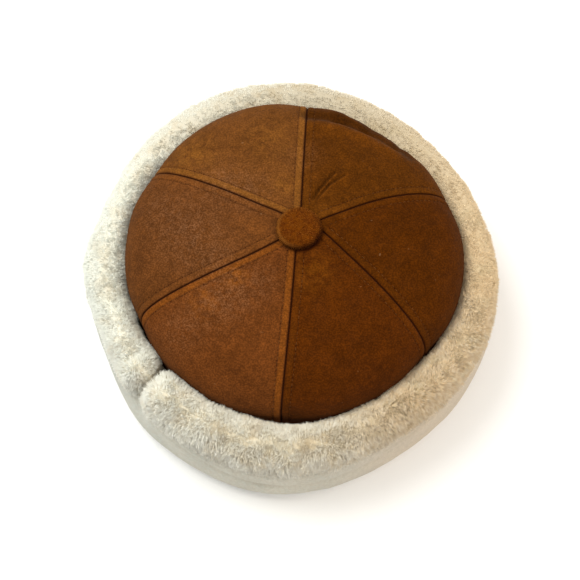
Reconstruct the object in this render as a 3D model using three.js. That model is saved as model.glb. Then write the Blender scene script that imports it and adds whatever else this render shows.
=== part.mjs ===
// A six-panel leather cap with a covered button and a turned-up shearling cuff
// Millimetres, +Z up, standing on the foot of its cuff, the wearer's face towards -Y

import * as THREE from 'three';

// Crown
const HEAD_ROUND = 580;
const LEATHER_WALL = 2.4;
const CROWN_HEIGHT = 102.8;
const DOME_RISE = 41.2;
const DOME_SQUARENESS = 2.9;
const APEX_SHIFT = 4.1;
const TIP_RADIUS = 2;

// Seams between the panels
const SEAM_GAP = 0.4;
const SEAM_DIP = 0.9;
const SEAM_DIP_WIDTH = 1.3;
const STITCH_OFFSET = 4.6;
const STITCH_DIP = 0.5;
const STITCH_DIP_WIDTH = 1.1;
const PANEL_PUFF = 1.8;
const PUFF_WIDTH = 15;

// Button
const BUTTON_DIAMETER = 23.4;
const BUTTON_HEIGHT = 5.4;

// Cuff
const CUFF_HEIGHT = 69.8;
const CUFF_THICKNESS = 23;
const CUFF_FLARE = 4;
const HEM_THICKNESS = 3.7;
const HEM_BEVEL = 0.9;
const CUFF_CREASE = 1.6;
const PARTING_AZIMUTH = 223;
const PARTING_DEPTH = 4;
const PARTING_WIDTH = 5;

// Space left between pieces that touch
const CLEARANCE = 0.3;

// How finely the soft forms are faceted
const PROFILE_SAMPLES = 4000;
const WALL_ROWS = 2;
const DOME_ROWS = 17;
const PANEL_STEPS = 5;
const CUFF_COLUMNS = 72;
const BUTTON_SIDES = 24;

// Columns of points beside a seam, in shares of the stitch offset, and the narrowest panel that
// holds them at full width, in stitch offsets
const SEAM_COLUMNS = [0, 0.35, 0.7, 1, 1.5];
const NARROWEST_PANEL = 4.4;

// Extra columns of points at the cuff's parting, in shares of its width, and the closest that two
// columns may lie, in degrees
const PARTING_COLUMNS = [-1.4, -0.7, 0, 0.7, 1.4];
const CLOSEST_COLUMNS = 0.4;

// Lines of the six seams: azimuth at the rim and how far it turns on the way in, in degrees
// miss is how far the seam's line passes beside the apex, as a share of the crown's radius
const SEAMS = [
  { rim: 18.5, turn: 12, miss: 0 },
  { rim: 84, turn: 3, miss: -0.006 },
  { rim: 149.7, turn: 0, miss: -0.056 },
  { rim: 205.5, turn: 1.5, miss: 0 },
  { rim: 266.6, turn: -1, miss: -0.01 },
  { rim: 321.9, turn: 0, miss: 0.094 },
];

// Share of the radius, under the button, where the seams run straight to the apex
const HUB_REACH = 0.13;

// Plan of the hat, by azimuth in degrees
// crown is a share of the head's radius, wall of the cuff's thickness and top of its height
const PLAN = [
  { azimuth: 0, crown: 0.034, wall: -0.11, top: 0 },
  { azimuth: 20, crown: 0.02, wall: -0.16, top: 0 },
  { azimuth: 40, crown: -0.01, wall: -0.1, top: -0.01 },
  { azimuth: 57, crown: -0.02, wall: -0.02, top: -0.02 },
  { azimuth: 75, crown: 0, wall: -0.02, top: 0 },
  { azimuth: 92, crown: 0.01, wall: 0.01, top: 0.01 },
  { azimuth: 112, crown: 0.012, wall: 0.02, top: 0.01 },
  { azimuth: 132, crown: 0.002, wall: 0.02, top: -0.01 },
  { azimuth: 160, crown: 0.004, wall: -0.1, top: 0 },
  { azimuth: 180, crown: -0.004, wall: 0.1, top: 0 },
  { azimuth: 203, crown: -0.006, wall: -0.08, top: 0 },
  { azimuth: 225, crown: -0.012, wall: 0.1, top: 0.04 },
  { azimuth: 245, crown: -0.006, wall: 0.13, top: 0.03 },
  { azimuth: 264, crown: 0, wall: 0.2, top: 0 },
  { azimuth: 278, crown: 0, wall: 0.12, top: 0 },
  { azimuth: 298, crown: -0.004, wall: -0.03, top: 0.01 },
  { azimuth: 320, crown: 0.002, wall: 0, top: 0 },
  { azimuth: 342, crown: 0.028, wall: -0.03, top: -0.01 },
];

// Folds and wrinkles of the leather, in shares of the head's radius, to the right and back
// depth and crest, the raised lip on the fold's inner side, are shares of the leather's wall
const FOLDS = [
  { fromX: 0.1, fromY: 0.85, toX: 0.3, toY: 0.82, width: 0.05, depth: 1.1, crest: 0.25 },
  { fromX: 0.3, fromY: 0.82, toX: 0.47, toY: 0.75, width: 0.055, depth: 1.6, crest: 0.35 },
  { fromX: 0.47, fromY: 0.75, toX: 0.64, toY: 0.65, width: 0.05, depth: 1.3, crest: 0.3 },
  { fromX: 0.64, fromY: 0.65, toX: 0.72, toY: 0.57, width: 0.045, depth: 0.7, crest: 0.15 },
  { fromX: 0.13, fromY: 0.21, toX: 0.28, toY: 0.39, width: 0.03, depth: 0.3, crest: 0 },
];

// How fast a fold fades past its ends and how far inside its valley the crest lies, in fold widths
const FOLD_FADE = 0.8;
const CREST_OFFSET = 2;

// Section of the cuff from the lip inside, over the roll and down the wall to the foot
// out is a share of the cuff's thickness, flare of its flare and up of its height
// lump says how far the wall's plan moves the row, crease how deep the crease lies there
const CUFF_SECTION = [
  { name: 'inside_low', out: 0, flare: 0, up: 0.3, lump: 0, lift: 0, crease: 0 },
  { name: 'inside_middle', out: 0, flare: 0, up: 0.6, lump: 0, lift: 0, crease: 0 },
  { name: 'inside_high', out: 0, flare: 0, up: 0.8, lump: 0, lift: 0, crease: 0 },
  { name: 'lip', out: 0, flare: 0, up: 0.885, lump: 0, lift: 0.5, crease: 0 },
  { name: 'lip_round', out: 0.03, flare: 0, up: 0.94, lump: 0, lift: 0.8, crease: 0 },
  { name: 'roll_inner', out: 0.14, flare: 0, up: 0.983, lump: 0.1, lift: 1, crease: 0 },
  { name: 'roll_top', out: 0.33, flare: 0, up: 1, lump: 0.3, lift: 1, crease: 0 },
  { name: 'roll_crown', out: 0.52, flare: 0, up: 0.998, lump: 0.5, lift: 1, crease: 0 },
  { name: 'roll_outer', out: 0.74, flare: 0, up: 0.963, lump: 0.8, lift: 1, crease: 0 },
  { name: 'roll_side', out: 0.89, flare: 0, up: 0.905, lump: 1, lift: 0.7, crease: 0 },
  { name: 'roll_belly', out: 0.97, flare: 0, up: 0.82, lump: 1, lift: 0.4, crease: 0 },
  { name: 'roll_under', out: 1, flare: 0, up: 0.74, lump: 1, lift: 0.2, crease: 0.2 },
  { name: 'crease', out: 1, flare: 0, up: 0.68, lump: 1, lift: 0, crease: 1 },
  { name: 'wall_high', out: 1.01, flare: 0.2, up: 0.6, lump: 1, lift: 0, crease: 0.2 },
  { name: 'wall_middle', out: 1, flare: 0.55, up: 0.45, lump: 1, lift: 0, crease: 0 },
  { name: 'wall_low', out: 1, flare: 0.85, up: 0.31, lump: 1, lift: 0, crease: 0 },
  { name: 'flare', out: 1, flare: 1, up: 0.19, lump: 1, lift: 0, crease: 0 },
  { name: 'foot_round', out: 0.97, flare: 0.8, up: 0.085, lump: 0.9, lift: 0, crease: 0 },
  { name: 'foot_edge', out: 0.88, flare: 0.5, up: 0.02, lump: 0.7, lift: 0, crease: 0 },
  { name: 'foot_outer', out: 0.78, flare: 0.4, up: 0, lump: 0.6, lift: 0, crease: 0 },
  { name: 'foot_inner', out: 0.1, flare: 0, up: 0, lump: 0, lift: 0, crease: 0 },
];

// Depth of the crease below the roll, round the hat
const CREASE_PLAN = [
  { azimuth: 90, depth: 0.1 },
  { azimuth: 180, depth: 0.2 },
  { azimuth: 225, depth: 0.5 },
  { azimuth: 258, depth: 1 },
  { azimuth: 285, depth: 0.8 },
  { azimuth: 315, depth: 0.9 },
  { azimuth: 350, depth: 0.2 },
];

// Where the parting deepens, as shares of the cuff's height
const PARTING_RISE = { from: 0.2, to: 0.95 };

// Half section of the button: reach is a share of its radius, up of its height
const BUTTON_SECTION = [
  { reach: 0, up: 0 },
  { reach: 0.78, up: 0 },
  { reach: 0.92, up: 0.1 },
  { reach: 1, up: 0.32 },
  { reach: 0.97, up: 0.56 },
  { reach: 0.85, up: 0.78 },
  { reach: 0.6, up: 0.93 },
  { reach: 0.3, up: 0.99 },
  { reach: 0, up: 1 },
];

// Sizes that follow from the driving ones
const INNER_RADIUS = HEAD_ROUND / (2 * Math.PI);
const CROWN_RADIUS = INNER_RADIUS + LEATHER_WALL;
const SHOULDER = CROWN_HEIGHT - DOME_RISE;
const CROWN_FOOT = HEM_THICKNESS + CLEARANCE;

// Where the relief of the panels fades towards the apex, as shares of the radius
const RELIEF_FADE = { from: 0.1, to: 0.32 };

const leather = new THREE.MeshStandardMaterial({ color: 0x76431f, roughness: 0.92, metalness: 0 });
const buttonLeather = new THREE.MeshStandardMaterial({ color: 0x8a4a1e, roughness: 0.92, metalness: 0 });
const shearling = new THREE.MeshStandardMaterial({ color: 0xe8e2c8, roughness: 1, metalness: 0 });

function radians(degrees) {
  return THREE.MathUtils.degToRad(degrees);
}

function hump(distance, width) {
  return Math.exp(-((distance / width) ** 2));
}

// Smooth value of one column of a table whose rows go round the hat by azimuth
function around(table, azimuth, column) {
  const count = table.length;
  const turned = THREE.MathUtils.euclideanModulo(azimuth - table[0].azimuth, 360);
  let row = 0;
  while (row + 1 < count && table[row + 1].azimuth - table[0].azimuth <= turned) {
    row += 1;
  }
  const place = (index) => {
    const turns = Math.floor(index / count);
    return table[index - turns * count].azimuth - table[0].azimuth + 360 * turns;
  };
  const value = (index) => table[THREE.MathUtils.euclideanModulo(index, count)][column];
  const slope = (index) => (value(index + 1) - value(index - 1)) / (place(index + 1) - place(index - 1));
  const span = place(row + 1) - place(row);
  const t = (turned - place(row)) / span;
  const t2 = t * t;
  const t3 = t2 * t;
  return (
    (2 * t3 - 3 * t2 + 1) * value(row) +
    (t3 - 2 * t2 + t) * span * slope(row) +
    (3 * t2 - 2 * t3) * value(row + 1) +
    (t3 - t2) * span * slope(row + 1)
  );
}

function crownSpread(azimuth) {
  return 1 + around(PLAN, azimuth, 'crown');
}

// Azimuth of a seam at a reach that runs from 0 at the apex to 1 at the rim
function seamAzimuth(seam, reach) {
  const beside = seam.miss * (1 / Math.max(reach, HUB_REACH) - 1);
  return seam.rim + THREE.MathUtils.radToDeg(beside) + seam.turn * (1 - reach);
}

// Profile of the crown's outside: the upright wall, then the squarish dome to the tip
function crownProfile() {
  const rows = [];
  for (let row = 0; row < WALL_ROWS; row += 1) {
    const z = THREE.MathUtils.lerp(CROWN_FOOT, SHOULDER, row / WALL_ROWS);
    rows.push({ reach: 1, rise: 0, z, outward: 1, upward: 0 });
  }
  const bend = 2 / DOME_SQUARENESS;
  const lengths = [0];
  const points = [{ reach: 1, rise: 0 }];
  for (let sample = 1; sample <= PROFILE_SAMPLES; sample += 1) {
    const turn = (Math.PI / 2) * (1 - (1 - sample / PROFILE_SAMPLES) ** 3);
    const reach = Math.max(Math.cos(turn), 0) ** bend;
    const rise = Math.sin(turn) ** bend;
    if (reach * CROWN_RADIUS < TIP_RADIUS) {
      break;
    }
    const last = points[points.length - 1];
    const step = Math.hypot((last.reach - reach) * CROWN_RADIUS, (rise - last.rise) * DOME_RISE);
    lengths.push(lengths[lengths.length - 1] + step);
    points.push({ reach, rise });
  }
  const whole = lengths[lengths.length - 1];
  let index = 0;
  for (let row = 0; row <= DOME_ROWS; row += 1) {
    while (index + 1 < points.length && lengths[index] < (whole * row) / DOME_ROWS) {
      index += 1;
    }
    const { reach, rise } = points[index];
    const outward = reach ** (DOME_SQUARENESS - 1) / CROWN_RADIUS;
    const upward = rise ** (DOME_SQUARENESS - 1) / DOME_RISE;
    const size = Math.hypot(outward, upward);
    const z = SHOULDER + rise * DOME_RISE;
    rows.push({ reach, rise, z, outward: outward / size, upward: upward / size });
  }
  return rows;
}

// How far the folds move the leather outwards at a place given in shares of the radius
function foldRelief(x, y) {
  let relief = 0;
  for (const fold of FOLDS) {
    const alongX = fold.toX - fold.fromX;
    const alongY = fold.toY - fold.fromY;
    const length = Math.hypot(alongX, alongY);
    const along = ((x - fold.fromX) * alongX + (y - fold.fromY) * alongY) / length;
    const across = ((x - fold.fromX) * alongY - (y - fold.fromY) * alongX) / length;
    const past = Math.max(0, -along, along - length);
    const near = hump(past, fold.width * FOLD_FADE);
    const valley = -fold.depth * hump(across, fold.width);
    const crest = fold.crest * hump(across - fold.width * CREST_OFFSET, fold.width);
    relief += LEATHER_WALL * near * (valley + crest);
  }
  return relief;
}

// The low relief beside a seam, by the distance from it along the leather
function seamRelief(distance) {
  const dip = SEAM_DIP * hump(distance, SEAM_DIP_WIDTH);
  const stitches = STITCH_DIP * hump(distance - STITCH_OFFSET, STITCH_DIP_WIDTH);
  return -dip - stitches;
}

// Distances across a panel from its first seam, closer together by the seams
function panelColumns(width) {
  const bySeam = SEAM_COLUMNS.map((share) => share * STITCH_OFFSET);
  const crowding = Math.min(1, width / (NARROWEST_PANEL * STITCH_OFFSET));
  const first = bySeam.map((distance) => distance * crowding);
  const last = first.map((distance) => width - distance).reverse();
  const start = first[first.length - 1];
  const inside = [];
  for (let step = 1; step < PANEL_STEPS; step += 1) {
    inside.push(THREE.MathUtils.lerp(start, width - start, step / PANEL_STEPS));
  }
  return [...first, ...inside, ...last];
}

// One point of the crown's outside or inside
function crownPoint(row, azimuth, relief, depth) {
  const angle = radians(azimuth);
  const spread = crownSpread(azimuth);
  const radius = CROWN_RADIUS * spread * row.reach + (relief - depth) * row.outward;
  const shift = APEX_SHIFT * (1 - row.reach ** 2);
  return new THREE.Vector3(
    radius * Math.cos(angle) + shift,
    radius * Math.sin(angle),
    row.z + (relief - depth) * row.upward,
  );
}

// Closed solid between an outer and an inner grid of points of the same size
function shellGeometry(outer, inner) {
  const rows = outer.length;
  const columns = outer[0].length;
  const positions = [];
  for (const grid of [outer, inner]) {
    for (const line of grid) {
      line.forEach((point) => positions.push(point.x, point.y, point.z));
    }
  }
  const triangles = [];
  const at = (side, row, column) => (side * rows + row) * columns + column;
  const quad = (a, b, c, d) => triangles.push(a, b, c, a, c, d);
  for (let row = 0; row + 1 < rows; row += 1) {
    for (let column = 0; column + 1 < columns; column += 1) {
      quad(at(0, row, column), at(0, row, column + 1), at(0, row + 1, column + 1), at(0, row + 1, column));
      quad(at(1, row, column), at(1, row + 1, column), at(1, row + 1, column + 1), at(1, row, column + 1));
    }
    const end = columns - 1;
    quad(at(0, row, 0), at(0, row + 1, 0), at(1, row + 1, 0), at(1, row, 0));
    quad(at(0, row, end), at(1, row, end), at(1, row + 1, end), at(0, row + 1, end));
  }
  for (let column = 0; column + 1 < columns; column += 1) {
    const top = rows - 1;
    quad(at(0, 0, column), at(1, 0, column), at(1, 0, column + 1), at(0, 0, column + 1));
    quad(at(0, top, column), at(0, top, column + 1), at(1, top, column + 1), at(1, top, column));
  }
  return solidGeometry(positions, triangles);
}

function solidGeometry(positions, triangles) {
  const geometry = new THREE.BufferGeometry();
  geometry.setAttribute('position', new THREE.Float32BufferAttribute(positions, 3));
  geometry.setIndex(triangles);
  geometry.computeVertexNormals();
  return geometry;
}

// One panel of the crown, from the seam before it to the seam after it
function panelGeometry(seamBefore, seamAfter) {
  const outer = [];
  const inner = [];
  for (const row of crownProfile()) {
    const radius = row.reach * CROWN_RADIUS;
    const start = radians(seamAzimuth(seamBefore, row.reach)) + SEAM_GAP / 2 / radius;
    const turn = seamAzimuth(seamAfter, row.reach) - seamAzimuth(seamBefore, row.reach);
    const width = radians(THREE.MathUtils.euclideanModulo(turn, 360)) * radius - SEAM_GAP;
    const fade = THREE.MathUtils.smoothstep(row.reach, RELIEF_FADE.from, RELIEF_FADE.to);
    const outerLine = [];
    const innerLine = [];
    for (const distance of panelColumns(width)) {
      const azimuth = THREE.MathUtils.radToDeg(start + distance / radius);
      const toSeam = Math.min(distance, width - distance);
      const flat = crownPoint(row, azimuth, 0, 0);
      const fold = foldRelief(flat.x / CROWN_RADIUS, flat.y / CROWN_RADIUS) * (row.rise > 0 ? 1 : 0);
      const soft = fold - PANEL_PUFF * fade * hump(toSeam, PUFF_WIDTH);
      outerLine.push(crownPoint(row, azimuth, soft + seamRelief(toSeam) * fade, 0));
      innerLine.push(crownPoint(row, azimuth, soft, LEATHER_WALL));
    }
    outer.push(outerLine);
    inner.push(innerLine);
  }
  return shellGeometry(outer, inner);
}

// How deep the parting, where the two ends of the cuff meet, cuts into one of its rows
function partingDepth(row, azimuth) {
  const turn = THREE.MathUtils.euclideanModulo(azimuth - PARTING_AZIMUTH + 180, 360) - 180;
  const distance = radians(turn) * (CROWN_RADIUS + CUFF_THICKNESS / 2);
  const height = THREE.MathUtils.smoothstep(row.up, PARTING_RISE.from, PARTING_RISE.to);
  return PARTING_DEPTH * height * hump(distance, PARTING_WIDTH);
}

// One point of the cuff's section
function cuffPoint(row, azimuth) {
  const angle = radians(azimuth);
  const inside = CROWN_RADIUS * crownSpread(azimuth) + CLEARANCE;
  const lump = CUFF_THICKNESS * row.lump * around(PLAN, azimuth, 'wall');
  const crease = CUFF_CREASE * row.crease * around(CREASE_PLAN, azimuth, 'depth');
  const parting = partingDepth(row, azimuth);
  const reach = row.out * CUFF_THICKNESS + row.flare * CUFF_FLARE + lump - crease - parting * row.lump;
  const lift = CUFF_HEIGHT * row.lift * around(PLAN, azimuth, 'top') - parting * row.lift;
  const radius = inside + Math.max(reach, 0);
  return [radius * Math.cos(angle), radius * Math.sin(angle), row.up * CUFF_HEIGHT + lift];
}

// The hem folded under the lower edge of the crown, flush with the crown's inside
function hemPoint(azimuth, beyond, z) {
  const angle = radians(azimuth);
  const radius = CROWN_RADIUS * crownSpread(azimuth) - LEATHER_WALL + beyond;
  return [radius * Math.cos(angle), radius * Math.sin(angle), z];
}

// Azimuths of the cuff's columns, closer together at the parting
function cuffAzimuths() {
  const azimuths = new Set();
  for (let column = 0; column < CUFF_COLUMNS; column += 1) {
    azimuths.add((360 * column) / CUFF_COLUMNS);
  }
  const widthInDegrees = THREE.MathUtils.radToDeg(PARTING_WIDTH / (CROWN_RADIUS + CUFF_THICKNESS));
  for (const share of PARTING_COLUMNS) {
    azimuths.add(PARTING_AZIMUTH + share * widthInDegrees);
  }
  const sorted = [...azimuths].sort((a, b) => a - b);
  return sorted.filter(
    (azimuth, index) => index === 0 || azimuth - sorted[index - 1] > CLOSEST_COLUMNS,
  );
}

function cuffGeometry() {
  const lines = cuffAzimuths().map((azimuth) => [
    hemPoint(azimuth, 0, HEM_THICKNESS),
    hemPoint(azimuth, LEATHER_WALL + CLEARANCE, HEM_THICKNESS),
    ...CUFF_SECTION.map((row) => cuffPoint(row, azimuth)),
    hemPoint(azimuth, HEM_BEVEL, HEM_BEVEL),
  ]);
  const rows = lines[0].length;
  const triangles = [];
  lines.forEach((line, column) => {
    const next = (column + 1) % lines.length;
    for (let row = 0; row < rows; row += 1) {
      const above = (row + 1) % rows;
      const a = column * rows + row;
      const b = column * rows + above;
      const c = next * rows + above;
      const d = next * rows + row;
      triangles.push(a, b, c, a, c, d);
    }
  });
  return solidGeometry(lines.flat(2), triangles);
}

// The button lies flat on the meeting tips of the panels
function buttonGeometry() {
  const profile = BUTTON_SECTION.map(
    ({ reach, up }) => new THREE.Vector2((reach * BUTTON_DIAMETER) / 2, up * BUTTON_HEIGHT),
  );
  return new THREE.LatheGeometry(profile, BUTTON_SIDES).rotateX(Math.PI / 2);
}

const hat = new THREE.Group();

SEAMS.forEach((seam, index) => {
  const panel = new THREE.Mesh(panelGeometry(seam, SEAMS[(index + 1) % SEAMS.length]), leather);
  panel.name = `crown_panel_${index + 1}`;
  hat.add(panel);
});

const button = new THREE.Mesh(buttonGeometry(), buttonLeather);
button.name = 'crown_button';
button.position.set(APEX_SHIFT, 0, CROWN_HEIGHT + CLEARANCE);
hat.add(button);

const cuff = new THREE.Mesh(cuffGeometry(), shearling);
cuff.name = 'shearling_cuff';
hat.add(cuff);

// The origin is under the middle of the whole hat
const box = new THREE.Box3().setFromObject(hat);
const middle = box.getCenter(new THREE.Vector3());
hat.position.set(-middle.x, -middle.y, 0);

export default hat;
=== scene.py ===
# A six-panel nubuck cap with a covered button and a turned-up shearling cuff
# Metres, +Z up, the cap stands on the foot of its cuff, the camera looks down on its crown

import math

import bpy
import numpy as np
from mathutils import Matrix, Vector


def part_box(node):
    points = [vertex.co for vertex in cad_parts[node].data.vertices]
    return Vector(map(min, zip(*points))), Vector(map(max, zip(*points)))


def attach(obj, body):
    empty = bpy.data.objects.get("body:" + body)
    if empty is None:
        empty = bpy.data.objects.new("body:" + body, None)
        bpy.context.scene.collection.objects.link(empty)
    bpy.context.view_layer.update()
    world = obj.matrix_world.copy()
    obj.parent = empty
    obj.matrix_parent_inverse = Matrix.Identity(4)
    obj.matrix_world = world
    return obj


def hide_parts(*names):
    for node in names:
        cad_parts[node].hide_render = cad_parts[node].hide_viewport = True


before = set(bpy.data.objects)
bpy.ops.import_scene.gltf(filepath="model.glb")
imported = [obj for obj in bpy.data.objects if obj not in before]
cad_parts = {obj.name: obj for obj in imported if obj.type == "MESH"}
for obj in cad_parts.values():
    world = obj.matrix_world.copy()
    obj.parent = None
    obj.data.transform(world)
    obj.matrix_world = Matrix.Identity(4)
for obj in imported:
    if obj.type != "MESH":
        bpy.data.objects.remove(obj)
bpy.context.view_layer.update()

MM = 0.001
random = np.random.default_rng(11)

# Sizes of the solids, which the visual pieces follow
HEAD_ROUND = 580 * MM
LEATHER_WALL = 2.4 * MM
CROWN_HEIGHT = 102.8 * MM
DOME_RISE = 41.2 * MM
DOME_SQUARENESS = 2.9
APEX_SHIFT = 4.1 * MM
TIP_RADIUS = 2 * MM
PANEL_PUFF = 1.8 * MM
PUFF_WIDTH = 15 * MM
BUTTON_HEIGHT = 5.4 * MM
CUFF_HEIGHT = 69.8 * MM
CUFF_THICKNESS = 23 * MM
CUFF_FLARE = 4 * MM
HEM_THICKNESS = 3.7 * MM
HEM_BEVEL = 0.9 * MM
CUFF_CREASE = 1.6 * MM
CLEARANCE = 0.3 * MM
INNER_RADIUS = HEAD_ROUND / (2 * math.pi)
CROWN_RADIUS = INNER_RADIUS + LEATHER_WALL
SHOULDER = CROWN_HEIGHT - DOME_RISE
CROWN_FOOT = HEM_THICKNESS + CLEARANCE

# The button's box gives its size and the axis that everything else is laid out round
button_low, button_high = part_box("crown_button")
BUTTON_RADIUS = (button_high.x - button_low.x) / 2
AXIS_X = (button_low.x + button_high.x) / 2 - APEX_SHIFT
AXIS_Y = (button_low.y + button_high.y) / 2
BUTTON_FOOT = button_low.z


def table(columns, rows):
    """A short table as named columns."""
    return dict(zip(columns.split(), np.array(rows, float).T))


# The puff of the panels fades towards the apex between these shares of the radius
PUFF_FADE = (0.1, 0.32)

# Seams: azimuth at the rim and how far it turns on the way in, in degrees, and how far the seam
# passes beside the apex, as a share of the crown's radius
SEAMS = table("rim turn miss", [
    (18.5, 12, 0),
    (84, 3, -0.006),
    (149.7, 0, -0.056),
    (205.5, 1.5, 0),
    (266.6, -1, -0.01),
    (321.9, 0, 0.094),
])

# The seams run straight to the apex from this share of the radius inwards
HUB_REACH = 0.13

# Plan of the hat by azimuth in degrees, in shares of the crown's radius, the cuff's thickness
# and its height
PLAN = table("azimuth crown wall top", [
    (0, 0.034, -0.11, 0),
    (20, 0.02, -0.16, 0),
    (40, -0.01, -0.1, -0.01),
    (57, -0.02, -0.02, -0.02),
    (75, 0, -0.02, 0),
    (92, 0.01, 0.01, 0.01),
    (112, 0.012, 0.02, 0.01),
    (132, 0.002, 0.02, -0.01),
    (160, 0.004, -0.1, 0),
    (180, -0.004, 0.1, 0),
    (203, -0.006, -0.08, 0),
    (225, -0.012, 0.1, 0.04),
    (245, -0.006, 0.13, 0.03),
    (264, 0, 0.2, 0),
    (278, 0, 0.12, 0),
    (298, -0.004, -0.03, 0.01),
    (320, 0.002, 0, 0),
    (342, 0.028, -0.03, -0.01),
])

# Depth of the crease below the roll, as a share of its deepest
CREASE_PLAN = table("azimuth depth", [
    (90, 0.1),
    (180, 0.2),
    (225, 0.5),
    (258, 1),
    (285, 0.8),
    (315, 0.9),
    (350, 0.2),
])

# Folds of the leather in shares of the crown's radius, depth and crest in shares of its wall
FOLDS = table("from_x from_y to_x to_y width depth crest", [
    (0.1, 0.85, 0.3, 0.82, 0.05, 1.1, 0.25),
    (0.3, 0.82, 0.47, 0.75, 0.055, 1.6, 0.35),
    (0.47, 0.75, 0.64, 0.65, 0.05, 1.3, 0.3),
    (0.64, 0.65, 0.72, 0.57, 0.045, 0.7, 0.15),
    (0.13, 0.21, 0.28, 0.39, 0.03, 0.3, 0),
])

# How fast a fold fades past its ends and how far beside its valley its crest lies, in fold widths
FOLD_FADE = 0.8
CREST_OFFSET = 2

# Fine wrinkles that the solids leave out, in the same shares
WRINKLES = table("from_x from_y to_x to_y width depth crest", [
    (0.12, 0.2, 0.16, 0.27, 0.008, 0.2, 0.2),
    (0.16, 0.27, 0.25, 0.38, 0.008, 0.22, 0.22),
    (0.14, 0.2, 0.22, 0.3, 0.008, 0.22, 0.2),
    (0.22, 0.3, 0.31, 0.36, 0.008, 0.2, 0.18),
    (0.35, 0.9, 0.6, 0.74, 0.014, 0.25, 0.1),
])

# Sewing of the crown, which fades towards the apex between two shares of the radius, and whose
# stitches are counted from there
SEAM_GAP = 0.04 * MM
SEAM_DIP = 0.75 * MM
SEAM_DIP_WIDTH = 0.36 * MM
SEAM_ROLL = 0.3 * MM
SEAM_ROLL_WIDTH = 1.3 * MM
WELT_RISE = 0.12 * MM
STITCH_OFFSET = 4.6 * MM
STITCH_DIP = 0.26 * MM
STITCH_DIP_WIDTH = 0.7 * MM
STITCH_PITCH = 2.8 * MM
STITCH_LENGTH = 1.8 * MM
FIRST_STITCH = 5
THREAD_RADIUS = 0.18 * MM
PUCKER = 0.1 * MM
SEAM_FADE = (0.06, 0.13)

# Section of the cuff from the lip inside, over the roll and down the wall to the foot
# After the solid's own columns: length of the wool in millimetres, how deep it is rooted, how upright
# it stands, which way it is combed along the section, how many strands grow, how rough the fleece
# lies and how far it is pressed
CUFF_SECTION = table("out flare up lump lift crease pile sink stand comb growth rough press", [
    (0, 0, 0.3, 0, 0, 0, 0.3, 0.5, 0.5, 0, 0, 0, 0),
    (0, 0, 0.6, 0, 0, 0, 0.3, 0.5, 0.5, 0, 0, 0, 0),
    (0, 0, 0.8, 0, 0, 0, 1, 0.2, 0.7, 0, 0.2, 0, 0),
    (0, 0, 0.885, 0, 0.5, 0, 2.1, 0.4, 0.8, -0.45, 1.4, 0.2, 0),
    (0.03, 0, 0.94, 0, 0.8, 0, 2.6, 0.5, 0.9, -0.45, 2, 0.3, 0),
    (0.14, 0, 0.983, 0.1, 1, 0, 3.1, 0.7, 0.9, -0.35, 1.7, 0.5, 0),
    (0.33, 0, 1, 0.3, 1, 0, 3.4, 0.8, 0.9, -0.25, 1.4, 0.8, 0),
    (0.52, 0, 0.998, 0.5, 1, 0, 3.4, 0.8, 0.9, -0.1, 1.3, 0.8, 0),
    (0.74, 0, 0.963, 0.8, 1, 0, 3.4, 0.8, 0.9, 0.1, 1.3, 0.8, 0),
    (0.89, 0, 0.905, 1, 0.7, 0, 3.4, 0.8, 0.85, 0.2, 1.2, 0.8, 0),
    (0.97, 0, 0.82, 1, 0.4, 0, 3.3, 0.8, 0.75, 0.3, 1, 0.7, 0),
    (1, 0, 0.74, 1, 0.2, 0.2, 2.8, 0.8, 0.6, 0.4, 0.8, 0.4, 0.3),
    (1, 0, 0.68, 1, 0, 1, 1.4, 0.8, 0.35, 0.7, 0.2, 0.2, 1),
    (1.01, 0.2, 0.6, 1, 0, 0.2, 1.2, 0.9, 0.25, 0.8, 0, 0.2, 1),
    (1, 0.55, 0.45, 1, 0, 0, 1.2, 0.9, 0.22, 0.9, 0, 0.2, 1),
    (1, 0.85, 0.31, 1, 0, 0, 1.2, 0.9, 0.22, 0.9, 0, 0.2, 1),
    (1, 1, 0.19, 1, 0, 0, 1.2, 0.9, 0.22, 0.9, 0, 0.2, 1),
    (0.97, 0.8, 0.085, 0.9, 0, 0, 1.2, 0.9, 0.25, 0.8, 0, 0.15, 1),
    (0.88, 0.5, 0.02, 0.7, 0, 0, 1.1, 0.9, 0.25, 0.7, 0, 0.06, 1),
    (0.78, 0.4, 0, 0.6, 0, 0, 0.6, 0.5, 0.2, 0.3, 0, 0, 1),
    (0.1, 0, 0, 0, 0, 0, 0.3, 0.5, 0.2, 0, 0, 0, 1),
])
LAST_ROW = len(CUFF_SECTION["up"]) - 1
STEPS_A_ROW = 5
CUFF_COLUMNS = 400

# The parting where the two ends of the cuff meet
PARTING_AZIMUTH = 223
PARTING_DEPTH = 4 * MM
PARTING_WIDTH = 5 * MM
PARTING_RISE = (0.2, 0.95)

# The cleft in the parting, which opens towards the leather, and the lobe of wool beside it
CLEFT_DEPTH = 4 * MM
CLEFT_SETBACK = 3 * MM
CLEFT_WIDTH = 1 * MM
CLEFT_MOUTH = 2.6 * MM
LOBE_RISE = 1.2 * MM
LOBE_OFFSET = 10 * MM
LOBE_WIDTH = 6 * MM

# Half section of the button
BUTTON_SECTION = table("reach up", [
    (0, 0),
    (0.78, 0),
    (0.92, 0.1),
    (1, 0.32),
    (0.98, 0.52),
    (0.86, 0.74),
    (0.62, 0.91),
    (0.31, 0.985),
    (0, 1),
])

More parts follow.
